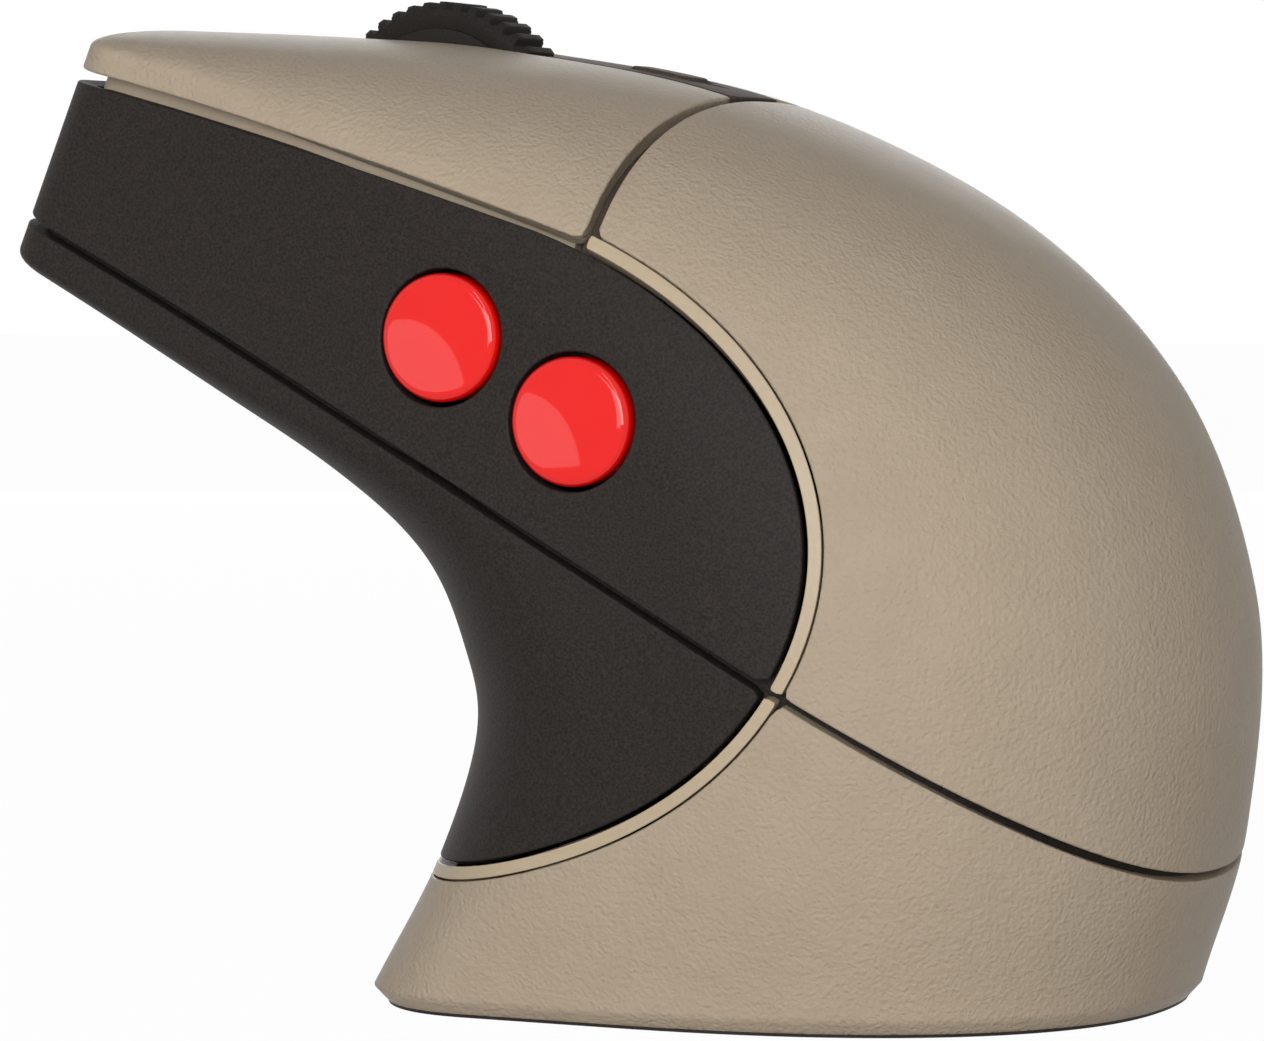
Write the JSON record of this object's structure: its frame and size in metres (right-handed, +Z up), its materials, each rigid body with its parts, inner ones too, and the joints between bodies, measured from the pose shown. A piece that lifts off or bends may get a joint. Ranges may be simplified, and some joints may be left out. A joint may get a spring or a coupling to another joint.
{
  "type": "computer mouse",
  "caption": "Tall sloping gaming mouse with a nose reaching over an open finger hollow, split main buttons, scroll wheel and round thumb buttons.",
  "frame": {"origin": "under the middle of the mouse, on the surface it stands on", "axes": "+Z up, -X towards the nose, +X towards the rear, -Y towards the thumb buttons"},
  "size_m": [0.1035, 0.0682, 0.086],
  "materials": {
    "beige_shell": "fine leather-grain moulded",
    "beige_frame": "moulded",
    "black_shell": "fine sand-grain moulded",
    "spine": "fine grain moulded",
    "trim": "smooth moulded",
    "red_button": "smooth moulded",
    "rubber": "moulded teeth",
    "dark_plastic": "moulded",
    "steel": "turned",
    "board": "solder mask",
    "chip": "moulded epoxy",
    "switch_housing": "moulded",
    "plunger": "moulded",
    "light_pipe": "clear to milky",
    "skate": "low friction",
    "clear_lens": "clear",
    "port_metal": "stamped",
    "cell": "foil",
    "cable": "film",
    "white_plastic": "moulded"
  },
  "bodies": {
    "body": {"rear_cover": "beige_shell", "center_spine": "spine", "button_frame": "beige_frame", "left_hinge_pin": "steel", "right_hinge_pin": "steel", "nose_cowl": "black_shell", "neck_shell": "black_shell", "base_shell": "beige_shell", "upper_trim_left": "trim", "upper_trim_right": "trim", "lower_trim": "trim", "wheel_encoder": "switch_housing", "upper_board": "board", "upper_screws": "steel", "left_switch": "switch_housing", "right_switch": "switch_housing", "middle_switch": "switch_housing", "dpi_switch": "switch_housing", "indicator_led": "white_plastic", "indicator_lens": "light_pipe", "thumb_switch_front": "switch_housing", "thumb_switch_rear": "switch_housing", "thumb_board": "board", "thumb_screws": "steel", "bottom_plate": "dark_plastic", "bottom_screws": "steel", "front_skate": "skate", "rear_skate": "skate", "main_board": "board", "optical_sensor": "chip", "sensor_lens": "clear_lens", "controller_chip": "chip", "usb_port": "port_metal", "power_switch": "switch_housing", "battery_tray": "dark_plastic", "battery_cell": "cell", "tray_screws": "steel", "ribbon_cable": "cable", "lower_connector": "white_plastic", "upper_connector": "white_plastic"},
    "left_button": {"left_button": "beige_shell"},
    "right_button": {"right_button": "beige_shell"},
    "carrier": {"wheel_carrier": "dark_plastic"},
    "wheel": {"scroll_tyre": "rubber", "wheel_hub": "dark_plastic", "wheel_axle": "steel", "encoder_rotor": "white_plastic"},
    "left_plunger": {"left_switch_plunger": "plunger"},
    "right_plunger": {"right_switch_plunger": "plunger"},
    "middle_plunger": {"middle_switch_plunger": "plunger"},
    "thumb_front": {"thumb_button_front": "red_button", "thumb_plunger_front": "plunger"},
    "thumb_rear": {"thumb_button_rear": "red_button", "thumb_plunger_rear": "plunger"},
    "dpi": {"dpi_button": "spine", "dpi_switch_plunger": "plunger"},
    "slider": {"power_slider": "white_plastic"}
  },
  "joints": [
    {"name": "left_button_press", "type": "hinge", "parent": "body", "child": "left_button", "pos_m": [0.0046, 0, 0.0694], "axis": [0, -1, 0], "range_deg": [0, 0.9], "stiffness_Nm_per_rad": 1, "springref_deg": -1.15},
    {"name": "right_button_press", "type": "hinge", "parent": "body", "child": "right_button", "pos_m": [0.0046, 0, 0.0694], "axis": [0, -1, 0], "range_deg": [0, 0.9], "stiffness_Nm_per_rad": 1, "springref_deg": -1.15},
    {"name": "wheel_click", "type": "hinge", "parent": "body", "child": "carrier", "pos_m": [-0.0045, 0, 0.0722], "axis": [0, -1, 0], "range_deg": [0, 1.6], "stiffness_Nm_per_rad": 0.4, "springref_deg": -1.15},
    {"name": "wheel_spin", "type": "hinge", "parent": "carrier", "child": "wheel", "pos_m": [-0.02135, 0, 0.0749], "axis": [0, 1, 0], "continuous": true},
    {"name": "left_plunger_travel", "type": "slide", "parent": "body", "child": "left_plunger", "axis": [-0.2756, 0, -0.9613], "range_m": [0, 0.00055]},
    {"name": "right_plunger_travel", "type": "slide", "parent": "body", "child": "right_plunger", "axis": [-0.2756, 0, -0.9613], "range_m": [0, 0.00055]},
    {"name": "middle_plunger_travel", "type": "slide", "parent": "body", "child": "middle_plunger", "axis": [-0.2756, 0, -0.9613], "range_m": [0, 0.0005]},
    {"name": "thumb_front_press", "type": "slide", "parent": "body", "child": "thumb_front", "axis": [0, 1, 0], "range_m": [0, 0.0008], "stiffness_N_per_m": 600, "springref_m": -0.0008},
    {"name": "thumb_rear_press", "type": "slide", "parent": "body", "child": "thumb_rear", "axis": [0, 1, 0], "range_m": [0, 0.0008], "stiffness_N_per_m": 600, "springref_m": -0.0008},
    {"name": "dpi_press", "type": "slide", "parent": "body", "child": "dpi", "axis": [0, 0, -1], "range_m": [0, 0.0004], "stiffness_N_per_m": 1200, "springref_m": -0.0005},
    {"name": "power_slide", "type": "slide", "parent": "body", "child": "slider", "axis": [1, 0, 0], "range_m": [0, 0.0025]}
  ],
  "couplings": [
    {"joint": "left_plunger_travel", "follows": "left_button_press", "m_per_rad": 0.03242},
    {"joint": "right_plunger_travel", "follows": "right_button_press", "m_per_rad": 0.03242},
    {"joint": "middle_plunger_travel", "follows": "wheel_click", "m_per_rad": 0.01694}
  ]
}
